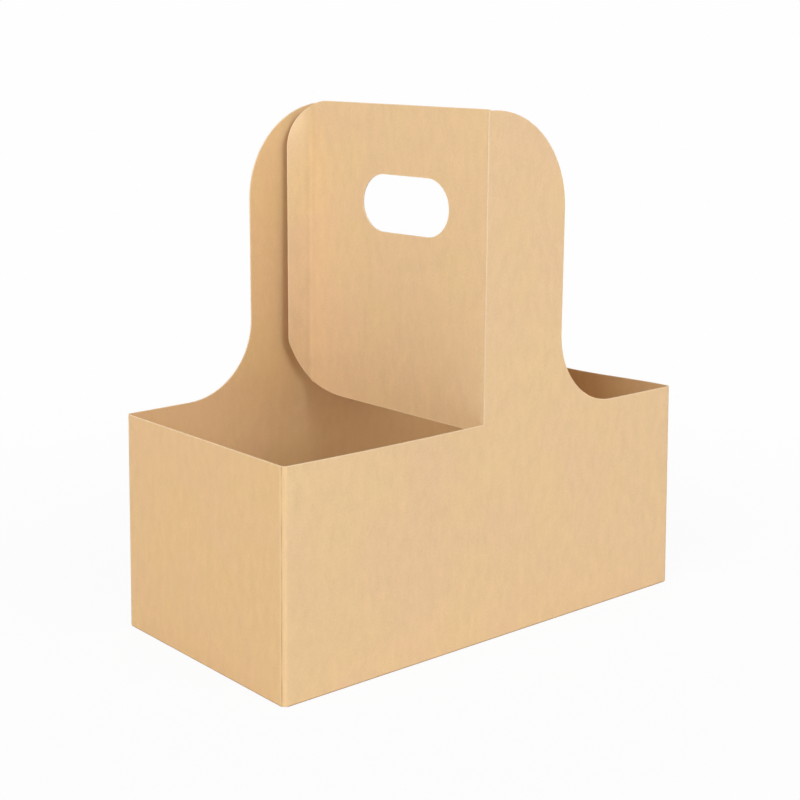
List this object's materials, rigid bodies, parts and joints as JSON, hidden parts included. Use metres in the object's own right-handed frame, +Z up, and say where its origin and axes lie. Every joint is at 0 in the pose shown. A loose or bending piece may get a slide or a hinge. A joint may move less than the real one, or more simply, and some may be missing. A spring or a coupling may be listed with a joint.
{
  "type": "cardboard cup carrier",
  "caption": "Open-topped kraft board box with tall rounded side panels and an upright handle sheet with a hand hole that parts the cup bays.",
  "frame": {"origin": "on the ground under the middle of the box", "axes": "+X along the long walls towards the right end wall, +Y from the front wall to the rear wall, +Z up"},
  "size_m": [0.2, 0.101, 0.2024],
  "materials": {
    "kraft_board": "matte unprinted kraft board with fine fibres"
  },
  "bodies": {
    "root": {"carrier_box": "kraft_board", "handle_divider": "kraft_board"}
  },
  "joints": []
}
